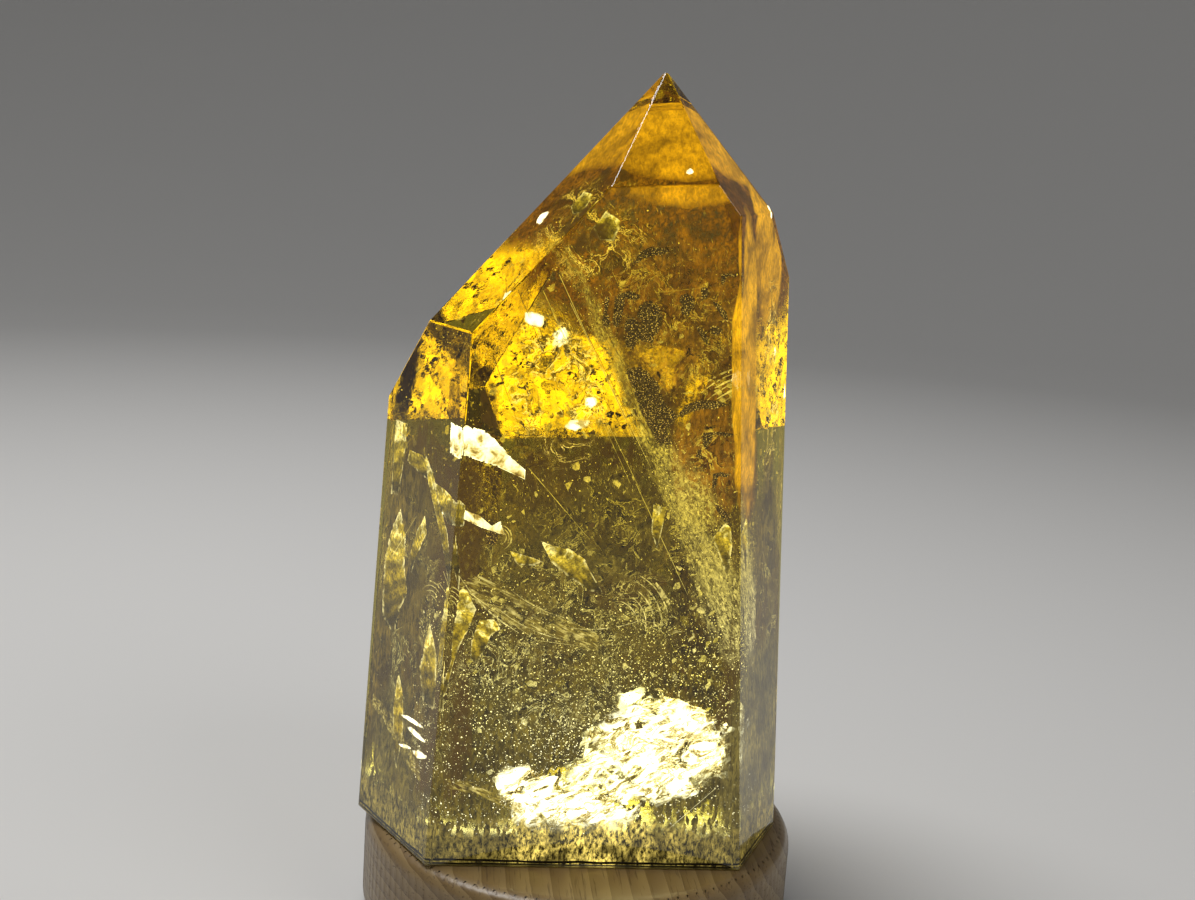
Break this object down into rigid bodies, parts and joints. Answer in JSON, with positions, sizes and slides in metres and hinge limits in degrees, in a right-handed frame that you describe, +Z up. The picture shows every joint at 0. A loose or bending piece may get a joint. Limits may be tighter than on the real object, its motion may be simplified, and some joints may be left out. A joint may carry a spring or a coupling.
{
  "type": "quartz crystal point on a light stand",
  "caption": "Polished smoky golden quartz point, lit from below, on a round wooden light stand.",
  "frame": {"origin": "middle of the stand's underside", "axes": "+Z up, -Y the front: the side that the stone's largest prism face looks to"},
  "size_m": [0.1018, 0.1008, 0.1933],
  "materials": {
    "quartz": "polished, clear, golden brown, with veils and fractures inside",
    "stand_wood": "satin lacquer over straight-grained wood",
    "window": "frosted, lit from behind"
  },
  "bodies": {
    "root": {"quartz_crystal": "quartz", "stand_base": "stand_wood", "light_window": "window"}
  },
  "joints": []
}
